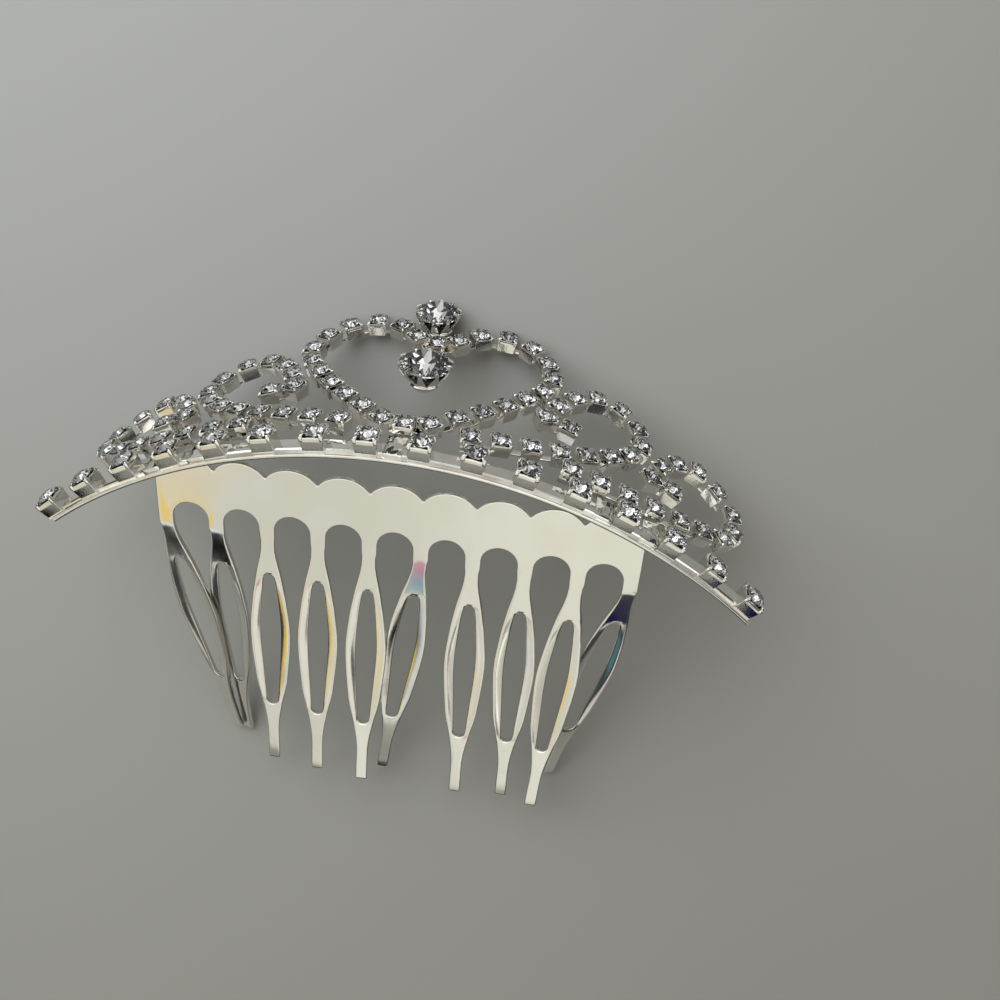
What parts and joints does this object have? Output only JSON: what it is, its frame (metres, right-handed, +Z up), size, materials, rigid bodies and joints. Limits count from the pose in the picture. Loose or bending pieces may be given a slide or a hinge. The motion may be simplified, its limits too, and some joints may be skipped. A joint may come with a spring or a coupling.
{
  "type": "clip-in tiara",
  "caption": "Comb tiara: a curved metal strip with a row of cut stones, stone chains bent to a heart and scrolls, two claw-set stones and a slotted hair comb.",
  "frame": {"origin": "under the middle of the bounding box, on the surface that the tiara lies on", "axes": "+X to the wearer's left along the band, +Y from the comb's tips to the top of the heart, +Z up from the table"},
  "size_m": [0.1031, 0.0752, 0.0331],
  "materials": {
    "silver_metal": "bright polished plate",
    "comb_metal": "bright plated stamped sheet",
    "crystal": "clear faceted crystal"
  },
  "bodies": {
    "root": {"band": "silver_metal", "comb": "comb_metal", "heart_chain": "silver_metal", "left_scroll": "silver_metal", "right_scroll": "silver_metal", "left_end_scroll": "silver_metal", "right_end_scroll": "silver_metal", "upper_setting": "silver_metal", "lower_setting": "silver_metal", "upper_stone": "crystal", "lower_stone": "crystal", "heart_stones": "crystal", "left_scroll_stones": "crystal", "right_scroll_stones": "crystal", "left_end_scroll_stones": "crystal", "right_end_scroll_stones": "crystal", "base_stone_01": "crystal", "base_stone_02": "crystal", "base_stone_03": "crystal", "base_stone_04": "crystal", "base_stone_05": "crystal", "base_stone_06": "crystal", "base_stone_07": "crystal", "base_stone_08": "crystal", "base_stone_09": "crystal", "base_stone_10": "crystal", "base_stone_11": "crystal", "base_stone_12": "crystal", "base_stone_13": "crystal", "base_stone_14": "crystal", "base_stone_15": "crystal", "base_stone_16": "crystal"}
  },
  "joints": []
}
